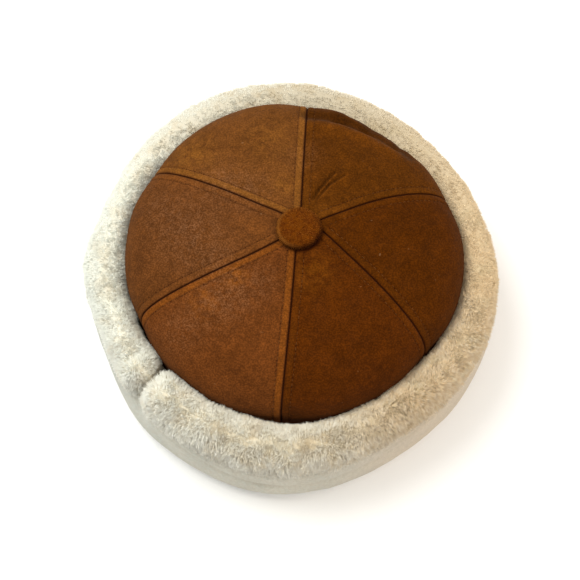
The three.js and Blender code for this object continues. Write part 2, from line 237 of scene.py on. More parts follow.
# Rubbed patches, and bloomed patches whose pale veil is partly the nap's own blooming and partly painted
# sheen of the light from the left, in shares of the crown's radius to the right and back
RUBS = table("x y size strength", [
    (-0.6, 0.53, 0.14, 0.6),
    (-0.32, -0.27, 0.06, 1),
    (-0.49, -0.41, 0.07, 0.7),
    (-0.12, 0.62, 0.15, 0.35),
    (-0.04, 0.3, 0.07, 0.5),
    (0.2, 0.12, 0.1, 0.4),
    (0.12, -0.25, 0.12, 0.5),
    (-0.2, 0.02, 0.09, 0.3),
])
SHEEN_BLOOMS = table("x y size strength", [
    (-0.58, -0.01, 0.2, 0.7),
    (-0.24, 0.26, 0.13, 0.55),
    (-0.42, 0.33, 0.12, 0.6),
    (-0.4, -0.2, 0.12, 0.5),
    (-0.41, -0.42, 0.13, 0.65),
    (-0.27, -0.38, 0.11, 0.3),
    (-0.62, -0.55, 0.12, 0.5),
    (-0.16, -0.3, 0.1, 0.4),
    (0.07, 0.5, 0.1, 0.35),
    (-0.75, 0.2, 0.14, 0.4),
])

# The sides of the button that get a painted highlight and a painted shade, to the right and back; the
# shaded side also sets the painted shadow on the leather round the button
HIGHLIGHT_SIDE = (-0.97, -0.26)
SHADED_SIDE = (0.64, -0.77)

# Tints of the six panels, from the upper right one on anticlockwise, and of their rubbed places, and how
# much lighter the strips beside their seams are; the left panels are lighter partly in their own tone and
# partly as painted light from the left
PANEL_TINTS = [
    ((0.081, 0.0229, 0.0015), (0.128, 0.039, 0.003), 0.15),
    ((0.126, 0.0427, 0.0083), (0.19, 0.07, 0.01), 0.5),
    ((0.111, 0.036, 0.0078), (0.17, 0.054, 0.009), 0.25),
    ((0.115, 0.033, 0.006), (0.2, 0.057, 0.005), 0.45),
    ((0.071, 0.0165, 0.0009), (0.12, 0.035, 0.002), 0.15),
    ((0.066, 0.016, 0.0006), (0.11, 0.032, 0.0018), 0.15),
]

# Colours of the nap and the wool; the bloomed colour of the nap is partly painted sheen
SHEEN_BLOOM = (0.16, 0.068, 0.028)
FIBRE = (0.28, 0.14, 0.06)
SHADOW_BROWN = (0.025, 0.004, 0.001)
WOOL_CREAM = (0.96, 0.98, 0.88)
WOOL_TAN = (0.83, 0.62, 0.37)
WOOL_STAIN = (0.72, 0.56, 0.33)
WOOL_GREY = (0.48, 0.55, 0.51)
WOOL_MAUVE = (0.6, 0.49, 0.38)
# Root colour, partly the wool's own and partly painted shade among the strands
WOOL_ROOT_SHADE = (0.72, 0.62, 0.45)
WOOL_SHADE = (0.38, 0.32, 0.22)
WOOL_TIP = (0.98, 0.97, 0.9)

# One stitch from end to end: how thick its thread is and how high it lies
STITCH_THICKNESS = np.array([0.45, 0.95, 1, 0.95, 0.45]) * THREAD_RADIUS
STITCH_HEIGHT = np.array([-0.3, 0.0, 0.08, 0.0, -0.3]) * MM
STITCH_SIDES = 6

# How finely the crown is faceted
WALL_ROWS = 8
DOME_ROWS = 190

# Columns of points beside a seam, the steps across the middle of each panel, and how many columns
# and rows of the outside there are to one of the inside
SEAM_COLUMNS = np.array(
    [0, 0.2, 0.4, 0.6, 0.9, 1.4, 2.1, 2.9, 3.5, 3.9, 4.25, 4.6, 4.95, 5.3, 5.8, 6.5, 7.5]
) * MM
MIDDLE_STEPS = (96, 40, 40, 40, 40, 40)
COARSE_COLUMNS = 4
COARSE_ROWS = 6

# Hairs of the button's nap
NAP_HAIRS = 5000
NAP_LENGTH = 0.9 * MM
NAP_RADIUS = 0.09 * MM

# Shallow creases in the wool of the wall, with lengths in millimetres
CREASES = table("from_azimuth to_azimuth from_z to_z width depth", [
    (226, 262, 44, 30, 1.6, 0.9),
    (262, 296, 30, 33, 1.5, 0.7),
    (300, 338, 40, 47, 1.7, 0.8),
    (236, 262, 20, 12, 1.4, 0.5),
    (268, 290, 10, 14, 1.4, 0.45),
    (40, 66, 38, 30, 1.6, 0.5),
    (110, 140, 26, 34, 1.8, 0.5),
    (165, 188, 34, 26, 1.6, 0.5),
])

# How tan the wool is round the hat, how far it stands in loose locks, how shaded it is beside
# the leather, how long it is, how far its strands and the fleece under them are dimmed with painted
# shade, and how many millimetres its lip stands back
WOOL_PLAN = table("azimuth warm locks edge length dull under back", [
    (0, 1, 0.6, 0, 0.6, 0.04, 0.45, 0),
    (20, 0.95, 0.5, 0, 0.45, 0.06, 0.52, 0),
    (50, 0.76, 0.45, 0, 0.4, 0.1, 0.68, 0),
    (90, 0.32, 0.4, 0, 0.4, 0.1, 0.7, 0),
    (135, 0.1, 0.4, 0.2, 0.45, 0.03, 0.44, 0),
    (160, 0.04, 0.45, 0.5, 0.55, 0, 0.36, 0),
    (180, 0.02, 0.5, 0.6, 0.65, 0, 0.34, 0),
    (205, 0.06, 0.65, 0.5, 0.85, 0, 0.3, 0),
    (225, 0.1, 0.8, 0.25, 1, 0, 0.28, 0.8),
    (245, 0.22, 0.95, 0.05, 1.05, 0, 0.28, 1.5),
    (265, 0.32, 1, 0, 1.1, 0, 0.3, 2),
    (282, 0.46, 1.05, 0, 1.1, 0, 0.34, 1.8),
    (297, 0.82, 1.1, 0, 1.15, 0, 0.42, 1),
    (318, 1.1, 1.1, 0, 1.1, 0.03, 0.48, 0),
    (340, 1, 0.9, 0, 0.95, 0.03, 0.45, 0),
])

# How far the shading of the loose wool looks up and not just outwards
UPWARD = 1.1

# How far the pressed wool of the wall is dimmed with painted shade
WALL_DIMMING = 0.15

# Lumps of the loose fleece: height in millimetres, size and seed
LUMPS = [(1.2, 12 * MM, 31), (0.6, 5 * MM, 32), (0.2, 2.4 * MM, 33)]

# Locks of wool, the strands in each, how deep their roots lie and how far they stay above the floor
LOCKS = 37000
LOCK_STRANDS = 4
WOOL_PIECES = 4
STRAND_RADIUS = 0.11 * MM
ROOT_DEPTH = 0.3 * MM
ABOVE_FLOOR = 0.3 * MM

# How far tufts of locks lean together: share, size and seed
TUFTS = [(0.45, 7 * MM, 41), (0.25, 2.8 * MM, 51)]

# The camera of the photo, with its lens and sensor in millimetres
CAMERA_PLACE = (-0.0001, -0.21676, 0.58872)
CAMERA_TILT = math.radians(20.75)
CAMERA_LENS = 61.7
CAMERA_SENSOR = 36


def clamp(value):
    return np.clip(value, 0, 1)


def hump(distance, width):
    return np.exp(-((distance / width) ** 2))


def smoothstep(value, start, end):
    t = clamp((value - start) / (end - start))
    return t * t * (3 - 2 * t)


def around(columns, azimuth, name):
    """Smooth value of a column of a table whose rows go round the hat by azimuth in degrees."""
    first = columns["azimuth"][0]
    turned = (np.asarray(azimuth) - first) % 360 + first
    places = columns["azimuth"]
    places = np.concatenate([places[-2:] - 360, places, places[:2] + 360])
    values = np.concatenate([columns[name][-2:], columns[name], columns[name][:2]])
    slopes = np.gradient(values)
    slopes[1:-1] = (values[2:] - values[:-2]) / (places[2:] - places[:-2])
    row = np.searchsorted(places, turned, side="right") - 1
    span = places[row + 1] - places[row]
    t = (turned - places[row]) / span
    return (
        (2 * t**3 - 3 * t**2 + 1) * values[row]
        + (t**3 - 2 * t**2 + t) * span * slopes[row]
        + (3 * t**2 - 2 * t**3) * values[row + 1]
        + (t**3 - t**2) * span * slopes[row + 1]
    )


def lattice(cells, seed):
    """A steady number from 0 to 1 for each whole-numbered place in space."""
    x, y, z = (cells[..., axis].astype(np.uint32) for axis in range(3))
    mixed = x * np.uint32(374761393) + y * np.uint32(668265263) + z * np.uint32(2246822519)
    mixed = mixed + np.uint32(seed * 40503 + 12345)
    mixed = (mixed ^ (mixed >> np.uint32(13))) * np.uint32(1274126177)
    mixed = (mixed ^ (mixed >> np.uint32(15))) * np.uint32(2654435761)
    return (mixed ^ (mixed >> np.uint32(16))) / 4294967296


def soft_noise(points, size, seed):
    """Smooth noise from -1 to 1 with bumps of about the given size."""
    scaled = points / size
    cells = np.floor(scaled).astype(np.int64)
    t = scaled - cells
    t = t * t * (3 - 2 * t)
    total = 0
    for corner in np.ndindex(2, 2, 2):
        weight = np.prod(np.where(corner, t, 1 - t), axis=-1)
        total = total + weight * lattice(cells + np.array(corner), seed)
    return 2 * total - 1


def noise_vectors(points, size, seed):
    return np.stack([soft_noise(points, size, seed + axis) for axis in range(3)], axis=-1)


def unit(vectors):
    return vectors / np.maximum(np.linalg.norm(vectors, axis=-1, keepdims=True), 1e-12)


def on_axis(points):
    """Moves points from the hat's own axis to their place in the frame."""
    return points + np.array([AXIS_X, AXIS_Y, 0])


# Materials

class Paint:
    """A material under way: its nodes, its shader, the place on the object and its colour so far."""

    def __init__(self, name, colour, **constants):
        self.material = bpy.data.materials.new(name)
        self.material.use_nodes = True
        self.tree = self.material.node_tree
        self.shader = self.tree.nodes["Principled BSDF"]
        for socket, value in constants.items():
            self.shader.inputs[socket.replace("_", " ")].default_value = value
        self.place = self.node("TexCoord").outputs["Object"]
        self.colour = colour
        self.surface = None

    def fill(self, made, values):
        """Sets or links inputs of a node."""
        for name, value in values.items():
            if isinstance(value, bpy.types.NodeSocket):
                self.tree.links.new(value, made.inputs[name])
            else:
                made.inputs[name].default_value = value

    def node(self, kind, values=None, **settings):
        """A shader node with its settings, and its inputs set or linked."""
        made = self.tree.nodes.new("ShaderNode" + kind)
        for name, value in settings.items():
            setattr(made, name, value)
        self.fill(made, values or {})
        return made

    def attribute(self, name):
        return self.node("Attribute", attribute_name=name).outputs["Fac"]

    def math(self, operation, *inputs):
        return self.node("Math", dict(enumerate(inputs)), operation=operation).outputs[0]

    def times(self, first, second):
        return self.math("MULTIPLY", first, second)

    def vector(self, operation, *inputs):
        return self.node("VectorMath", dict(enumerate(inputs)), operation=operation).outputs[0]

    def noise(self, size, detail=2.0, roughness=0.5, distortion=0.0, place=None):
        """Noise from 0 to 1 with features of about the given size in metres."""
        values = {
            "Vector": place or self.place,
            "Scale": 1 / size,
            "Detail": detail,
            "Roughness": roughness,
            "Distortion": distortion,
        }
        return self.node("TexNoise", values).outputs["Fac"]

    def spread(self, value, low, high, to_low=0.0, to_high=1.0):
        """Stretches a value from one range to another, smoothly and clamped."""
        values = {"Value": value, "From Min": low, "From Max": high, "To Min": to_low, "To Max": to_high}
        return self.node("MapRange", values, interpolation_type="SMOOTHSTEP").outputs["Result"]

    def cloud(self, size, ranges, *noise_settings):
        """Noise stretched from one range to another."""
        return self.spread(self.noise(size, *noise_settings), *ranges)

    def mix(self, factor, first, second, blend="MIX"):
        """One colour laid over another by a factor."""
        made = self.node("Mix", data_type="RGBA", blend_type=blend)
        number = {socket.identifier: index for index, socket in enumerate(made.inputs)}
        first, second = ((*tone, 1) if isinstance(tone, tuple) else tone for tone in (first, second))
        sockets = (number["Factor_Float"], number["A_Color"], number["B_Color"])
        self.fill(made, dict(zip(sockets, (factor, first, second))))
        return next(socket for socket in made.outputs if socket.identifier == "Result_Color")

    def lay(self, factor, colour, blend="MIX"):
        """Lays a colour over the colour so far."""
        self.colour = self.mix(factor, self.colour, colour, blend)

    def bump(self, height, distance, strength=1.0):
        """Raises the surface so far."""
        values = {"Height": height, "Distance": distance, "Strength": strength}
        if self.surface is not None:
            values["Normal"] = self.surface
        self.surface = self.node("Bump", values).outputs["Normal"]

    def finish(self, **sockets):
        """The material, with its colour, its surface and any other values linked to the shader."""
        if self.surface is not None:
            sockets["Normal"] = self.surface
        self.fill(self.shader, {"Base Color": self.colour, **sockets})
        return self.material


def nubuck(name, tint, rubbed, welt_lightening, offset):
    """Brushed leather: fine nap, cloudy tone, rubbed patches, blooms partly of painted sheen, painted
    highlight and shade along the folds, a painted shadow round the button, dark seams and holes.
    """
    paint = Paint(
        name,
        tuple(0.78 * value for value in tint),
        Sheen_Weight=0.03,
        Sheen_Roughness=0.5,
        Sheen_Tint=(1.0, 0.6, 0.35, 1),
        Specular_IOR_Level=0.02,
    )
    unshifted = paint.place
    paint.place = paint.vector("ADD", unshifted, (offset, 0.7 * offset, 0))
    light = tuple(1.18 * value for value in tint)
    fleck = tuple(1.5 * value for value in light)
    # The panel's tint: the left panels' lighter tints are partly painted light from the left
    paint.lay(paint.cloud(24 * MM, (0.32, 0.7), 4, 0.6, 0.4), tint)
    paint.lay(paint.cloud(6 * MM, (0.45, 0.75, 0, 0.7), 4, 0.65, 0.6), light)
    paint.lay(paint.times(paint.attribute("rub"), paint.cloud(5 * MM, (0.35, 0.6), 3, 0.7)), rubbed)
    nap = paint.noise(0.85 * MM, 1.5, 0.7)
    # Blooms: a pale veil on the nap, partly its own blooming and partly painted sheen
    sheen_bloomed = paint.cloud(3 * MM, (0.3, 0.7), 4, 0.75)
    sheen_bloomed = paint.times(sheen_bloomed, paint.spread(nap, 0.38, 0.62, 0.25, 1.2))
    paint.lay(paint.times(paint.attribute("sheen_bloom"), sheen_bloomed), SHEEN_BLOOM)
    seam = paint.attribute("seam")
    welt = paint.times(paint.spread(seam, 0.6 * MM, 1.4 * MM), paint.spread(seam, 4.3 * MM, 3.4 * MM))
    paint.lay(paint.times(welt, welt_lightening), rubbed)
    paint.lay(1.0, paint.cloud(5 * MM, (0.3, 0.7, 0.88, 1.12), 4, 0.6, 0.5), "MULTIPLY")
    paint.lay(1.0, paint.spread(nap, 0.36, 0.7, 0.78, 1.4), "MULTIPLY")
    # Painted highlight on the crests of folds and wrinkles, painted shade in their valleys
    paint.lay(1.0, paint.spread(paint.attribute("crest"), -1, 1, 0.62, 1.38), "MULTIPLY")
    paint.lay(paint.cloud(1.3 * MM, (0.6, 0.72, 0, 0.25), 3, 0.8, 1.5), fleck)
    paint.lay(paint.cloud(2.6 * MM, (0.86, 0.9, 0, 0.35), 0, 0.5), FIBRE)
    paint.lay(paint.spread(seam, 0.8 * MM, 0.2 * MM, 0, 0.85), SHADOW_BROWN)
    # Painted shadow on the leather round the button
    paint.lay(paint.attribute("button_shadow"), SHADOW_BROWN)
    hole = paint.math("PINGPONG", paint.attribute("along"), STITCH_PITCH / 2)
    hole = paint.spread(hole, 0.55 * MM, 0.15 * MM)
    row = paint.times(paint.spread(seam, 4.1 * MM, 4.5 * MM), paint.spread(seam, 5.1 * MM, 4.7 * MM))
    uneven = paint.spread(paint.noise(4 * MM, 2, 0.6, place=unshifted), 0.35, 0.6, 0.25, 0.9)
    paint.lay(paint.times(paint.times(hole, row), uneven), SHADOW_BROWN)
    paint.bump(paint.noise(3.4 * MM, 4, 0.6, 0.3), 0.5 * MM, 0.5)
    paint.bump(nap, 0.3 * MM, 0.7)
    return paint.finish(Roughness=paint.cloud(9 * MM, (0.3, 0.7, 0.72, 0.95), 3, 0.6))


def button_edge(paint):
    """The button's painted highlight on its left edge and painted shade on its lower right edge."""
    paint.lay(paint.times(paint.attribute("pale"), 0.45), (0.36, 0.14, 0.025))
    paint.lay(paint.attribute("under"), SHADOW_BROWN)


def suede(name):
    """The button's cover: a warmer, longer nap than the crown's."""
    paint = Paint(
        name,
        (0.1, 0.022, 0.0008),
        Sheen_Weight=0.05,
        Sheen_Roughness=0.4,
        Sheen_Tint=(1.0, 0.65, 0.35, 1),
        Specular_IOR_Level=0.03,
    )
    clouds = paint.cloud(3.5 * MM, (0.35, 0.65), 4, 0.6, 0.5)
    paint.lay(clouds, (0.155, 0.04, 0.0015))
    nap = paint.noise(0.9 * MM, 2, 0.75, 0.8)
    paint.lay(paint.spread(nap, 0.4, 0.65, 0.0, 0.55), (0.05, 0.01, 0.0008))
    paint.lay(paint.cloud(1.1 * MM, (0.6, 0.7, 0, 0.4), 3, 0.75, 2.0), (0.26, 0.1, 0.015))
    button_edge(paint)
    paint.bump(paint.noise(2.5 * MM, 3, 0.6), 0.4 * MM, 0.7)
    paint.bump(nap, 0.25 * MM)
    return paint.finish(Roughness=paint.spread(clouds, 0, 1, 0.8, 0.95))


def nap_hair(name):
    """The hairs of the button's nap, darker at their roots and lighter at their tips."""
    paint = Paint(name, (0.08, 0.016, 0.0006), Roughness=0.85, Specular_IOR_Level=0.05)
    paint.lay(paint.spread(paint.attribute("tone"), 0, 1), (0.34, 0.105, 0.011))
    paint.lay(paint.cloud(3 * MM, (0.4, 0.65, 0, 0.4), 3, 0.7), (0.14, 0.029, 0.001))
    button_edge(paint)
    return paint.finish()


def sewing_thread(name):
    """Brown thread whose two plies twist round each other."""
    paint = Paint(name, (0.06, 0.018, 0.003), Roughness=0.8, Specular_IOR_Level=0.05)
    paint.lay(paint.cloud(2.5 * MM, (0.35, 0.65), 2, 0.6), (0.14, 0.052, 0.013))
    paint.bump(paint.noise(0.25 * MM, 1, 0.5, 1.0), 0.1 * MM, 0.8)
    return paint.finish()


def fibre_place(paint):
    """A place that changes slowly along the fibres, which lie along the cuff's section."""
    level = paint.vector("NORMALIZE", paint.vector("MULTIPLY", paint.place, (1, 1, 0)))
    level = paint.node("VectorMath", {0: level, "Scale": 0.11}, operation="SCALE").outputs[0]
    height = paint.node("CombineXYZ", {"Z": paint.times(paint.attribute("down"), 0.22)}).outputs[0]
    return paint.vector("ADD", level, height)


def wool(name, depth):
    """Cream wool: warmer on the hat's right, tan in patches, greyer and matted where it is pressed, with
    painted shade at its roots, between tufts, in shaded places and where it is dimmed.
    """
    paint = Paint(
        name,
        WOOL_CREAM,
        Roughness=0.9,
        Sheen_Weight=0.2,
        Sheen_Roughness=0.5,
        Specular_IOR_Level=0.1,
    )
    warm, press, tone = (paint.attribute(label) for label in ("warm", "press", "tone"))
    loose = paint.spread(press, 0.9, 0.3)
    fluffy = paint.spread(paint.attribute("long"), 0.7, 1.05)
    paint.lay(warm, WOOL_TAN)
    stain = paint.cloud(11 * MM, (0.45, 0.7, 0, 0.85), 3, 0.6, 0.3)
    stain = paint.times(stain, paint.spread(warm, 0, 0.6, 0.35, 1))
    paint.lay(paint.times(stain, loose), WOOL_STAIN)
    smudge = paint.cloud(22 * MM, (0.3, 0.7, 0.75, 1), 3, 0.6)
    paint.lay(paint.times(press, smudge), paint.mix(warm, WOOL_GREY, WOOL_MAUVE))
    # Roots and fleece darkened towards the root colour: partly the wool's own, partly painted shade
    deep = paint.times(paint.spread(tone, 0, 0.6, 0.75, 0), paint.spread(press, 0.9, 0.3, 0.06, 1))
    paint.lay(paint.times(deep, paint.spread(fluffy, 0, 1, 0.15, 1)), WOOL_ROOT_SHADE)
    pale_tip = paint.times(paint.spread(tone, 0.65, 0.95, 0, 0.65), paint.spread(fluffy, 0, 1, 0.35, 1))
    pale_tip = paint.times(pale_tip, paint.spread(warm, 0, 1, 1, 0.5))
    paint.lay(paint.times(pale_tip, loose), WOOL_TIP)
    fibres = fibre_place(paint)
    fine = paint.noise(0.6 * MM, 2, 0.65, 0.4, fibres)
    tufts = paint.noise(1.7 * MM, 2, 0.6, 0.5, fibres)
    # Painted shade in the gaps between tufts
    gaps = paint.spread(fine, 0.32, 0.62, 0.6, 0)
    gaps = paint.math("ADD", gaps, paint.spread(tufts, 0.35, 0.6, 0.35, 0))
    gaps = paint.times(gaps, paint.spread(press, 0.9, 0.3, 0.35 * depth, depth))
    paint.lay(paint.times(gaps, paint.spread(fluffy, 0, 1, 0.1, 0.9)), WOOL_ROOT_SHADE)
    # Painted shade that dims the wool, most at the back
    paint.lay(paint.attribute("dull"), WOOL_SHADE)
    streaks = paint.cloud(5 * MM, (0.35, 0.65, 0, 0.22), 4, 0.65, 0.8)
    paint.lay(paint.times(streaks, press), WOOL_MAUVE)
    grain = paint.noise(1.8 * MM, 4, 0.75, 0.6)
    matted = paint.spread(grain, 0.62, 0.38, 0, 0.38)
    paint.lay(paint.times(matted, press), WOOL_SHADE)
    speckle = paint.cloud(1 * MM, (0.35, 0.6, 0.4, 1), 2, 0.6, 0.0, fibres)
    paint.lay(paint.times(paint.attribute("shade"), speckle), WOOL_SHADE)
    paint.bump(paint.times(grain, press), 1.2 * MM, 0.8 * depth)
    paint.bump(tufts, 0.8 * MM, 0.5 * depth)
    paint.bump(fine, 0.5 * MM, 0.6 * depth)
    return paint.finish()


# Meshes

def add_object(name, data):
    made = bpy.data.objects.new(name, data)
    bpy.context.scene.collection.objects.link(made)
    return made


def piece(name, points, triangles, material, nodes, values=None):
    """A closed mesh that rides on the hat, takes its material and stands for some solids."""
    mesh = bpy.data.meshes.new(name)
    mesh.vertices.add(len(points))
    mesh.vertices.foreach_set("co", np.ascontiguousarray(points, np.float32).ravel())
    mesh.loops.add(3 * len(triangles))
    mesh.loops.foreach_set("vertex_index", np.ascontiguousarray(triangles, np.int32).ravel())
    mesh.polygons.add(len(triangles))
    mesh.polygons.foreach_set("loop_start", np.arange(0, 3 * len(triangles), 3, dtype=np.int32))
    mesh.update(calc_edges=True)
    mesh.shade_smooth()
    for label, numbers in (values or {}).items():
        layer = mesh.attributes.new(label, "FLOAT", "POINT")
        layer.data.foreach_set("value", np.ascontiguousarray(numbers, np.float32).ravel())
    mesh.materials.append(material)
    made = add_object(name, mesh)
    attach(made, "root")
    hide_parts(*nodes)
    return made


def grid_triangles(ids):
    """Two triangles for each cell of a grid of vertex numbers, facing rows crossed with columns."""
    a, b, c, d = ids[:-1, :-1], ids[1:, :-1], ids[1:, 1:], ids[:-1, 1:]
    return np.concatenate([np.stack([a, b, c], -1).reshape(-1, 3), np.stack([a, c, d], -1).reshape(-1, 3)])


def closed(ids):
    """A grid of vertex numbers whose last column is its first."""
    return np.concatenate([ids, ids[:, :1]], axis=1)


def edge_triangles(fine, coarse):
    """A strip between an edge with many points and one with every few of them."""
    skip = (len(fine) - 1) // (len(coarse) - 1)
    triangles = []
    for step in range(len(coarse) - 1):
        start = step * skip
        middle = start + skip // 2
        for index in range(start, start + skip):
            near = coarse[step] if index < middle else coarse[step + 1]
            triangles.append((fine[index], fine[index + 1], near))
        triangles.append((fine[middle], coarse[step + 1], coarse[step]))
    return np.array(triangles)


# A strand is a slim bent wedge with a root, two corners at its elbow and a tip
STRAND_SHAPE = np.array([(0, 1, 2), (0, 3, 1), (0, 2, 3), (3, 2, 1)])


def strand_corners(root, elbow, tip, radius, towards):
    """The four corners of each strand, its broad side towards its own direction, faces outwards."""
    across = unit(np.cross(unit(elbow - root), towards))
    left, right = elbow + radius * across, elbow - radius * across
    inwards = np.einsum("ij,ij->i", np.cross(left - root, right - root), tip - root)[:, None] > 0
    left, right = np.where(inwards, right, left), np.where(inwards, left, right)
    return np.stack([root, left, right, tip], axis=1)


def strand_triangles(count):
    return (4 * np.arange(count)[:, None, None] + STRAND_SHAPE).reshape(-1, 3)


def strand_map(mesh, count):
    """A flat map on which every strand has a small square of its own."""
    cells = math.ceil(math.sqrt(count))
    cell = np.stack([np.arange(count) % cells, np.arange(count) // cells], axis=-1)[:, None, :]
    corners = [
        (0.1, 0.05), (0.3, 0.5), (0.05, 0.5),
        (0.4, 0.05), (0.55, 0.95), (0.4, 0.5),
        (0.6, 0.05), (0.6, 0.5), (0.75, 0.95),
        (0.85, 0.95), (0.8, 0.5), (0.95, 0.5),
    ]
    flat = (cell + np.array(corners)[None]) / cells
    layer = mesh.uv_layers.new(name="OFBake")
    layer.uv.foreach_set("vector", flat.astype(np.float32).ravel())


# Crown

def dome_profile(places):
    """The dome's profile at distances along it from the rim, which run to the tip."""
    turn = math.pi / 2 * (1 - (1 - np.linspace(0, 1, 4001)) ** 3)
    bend = 2 / DOME_SQUARENESS
    reach = np.maximum(np.cos(turn), 0) ** bend
    rise = np.sin(turn) ** bend
    keep = reach * CROWN_RADIUS >= TIP_RADIUS
    reach, rise = reach[keep], rise[keep]
    steps = np.hypot(np.diff(reach) * CROWN_RADIUS, np.diff(rise) * DOME_RISE)
    length = np.concatenate([[0], np.cumsum(steps)])
    at = np.asarray(places) * length[-1]
    return profile_row(np.interp(at, length, reach), np.interp(at, length, rise), length[-1] - at)


def profile_row(reach, rise, along):
    outward = reach ** (DOME_SQUARENESS - 1) / CROWN_RADIUS
    upward = rise ** (DOME_SQUARENESS - 1) / DOME_RISE
    size = np.hypot(outward, upward)
    return {
        "reach": reach,
        "rise": rise,
        "z": SHOULDER + rise * DOME_RISE,
        "outward": outward / size,
        "upward": upward / size,
        "along": along,
    }


def crown_profile():
    """Rows of the crown's outside: the upright wall, then the dome to its tip."""
    dome = dome_profile(np.linspace(0, 1, DOME_ROWS + 1))
    wall_z = np.linspace(CROWN_FOOT, SHOULDER, WALL_ROWS, endpoint=False)
    ones = np.ones(WALL_ROWS)
    wall = {
        "reach": ones,
        "rise": 0 * ones,
        "z": wall_z,
        "outward": ones,
        "upward": 0 * ones,
        "along": dome["along"][0] + SHOULDER - wall_z,
    }
    return {name: np.concatenate([wall[name], dome[name]])[:, None] for name in dome}


def seam_azimuth(index, reach):
    beside = SEAMS["miss"][index] * (1 / np.maximum(reach, HUB_REACH) - 1)
    return SEAMS["rim"][index] + np.degrees(beside) + SEAMS["turn"][index] * (1 - reach)


def rim_radius(azimuth):
    """The crown's outer radius at its rim, which isn't quite round."""
    return CROWN_RADIUS * (1 + around(PLAN, azimuth, "crown"))


def crown_point(row, azimuth, relief):
    """Places on the crown about the hat's own axis, moved outwards by the relief."""
    angle = np.radians(azimuth)
    radius = rim_radius(azimuth) * row["reach"] + relief * row["outward"]
    x = radius * np.cos(angle) + APEX_SHIFT * (1 - row["reach"] ** 2)
    y = radius * np.sin(angle)
    return np.stack(np.broadcast_arrays(x, y, row["z"] + relief * row["upward"]), axis=-1)


def fold_relief(folds, x, y):
    """How far folds move the leather outwards, at places in shares of the crown's radius."""
    relief = 0
    for index in range(len(folds["width"])):
        fold = {name: column[index] for name, column in folds.items()}
        along_x = fold["to_x"] - fold["from_x"]
        along_y = fold["to_y"] - fold["from_y"]
        length = math.hypot(along_x, along_y)
        along = ((x - fold["from_x"]) * along_x + (y - fold["from_y"]) * along_y) / length
        across = ((x - fold["from_x"]) * along_y - (y - fold["from_y"]) * along_x) / length
        past = np.maximum(0, np.maximum(-along, along - length))
        near = hump(past, fold["width"] * FOLD_FADE)
        valley = -fold["depth"] * hump(across, fold["width"])
        crest = fold["crest"] * hump(across - fold["width"] * CREST_OFFSET, fold["width"])
        relief = relief + LEATHER_WALL * near * (valley + crest)
    return relief


def stitch_phase(along):
    """From 0 in the middle of a stitch to 1 at the holes between stitches."""
    return 0.5 + 0.5 * np.cos(2 * np.pi * along / STITCH_PITCH)


def seam_relief(to_seam, along):
    """The sewn edge: a sharp valley, a raised strip, then a groove that puckers at the holes."""
    valley = -SEAM_DIP * hump(to_seam, SEAM_DIP_WIDTH) - SEAM_ROLL * hump(to_seam, SEAM_ROLL_WIDTH)
    strip = WELT_RISE * smoothstep(to_seam, 0.6 * MM, 1.5 * MM) * smoothstep(to_seam, 4.4 * MM, 3.2 * MM)
    hole = stitch_phase(along)
    groove = -STITCH_DIP * (0.5 + hole) * hump(to_seam - STITCH_OFFSET, STITCH_DIP_WIDTH)
    pucker = PUCKER * (1 - hole) * hump(to_seam - STITCH_OFFSET - 1.6 * MM, 1.3 * MM)
    return valley + strip + groove + pucker


def panel_columns(width, steps):
    """Distances across a panel from its first seam, closer together by the seams."""
    crowding = np.minimum(1, width / (3.2 * SEAM_COLUMNS[-1]))
    first = SEAM_COLUMNS * crowding
    start = first[:, -1:]
    inside = start + (width - 2 * start) * np.arange(1, steps) / steps
    return np.concatenate([first, inside, width - first[:, ::-1]], axis=1)


def patch_strength(patches, x, y):
    total = 0
    for left, back, size, strength in zip(*patches.values()):
        total = total + strength * hump(np.hypot(x - left, y - back), size)
    return clamp(total)


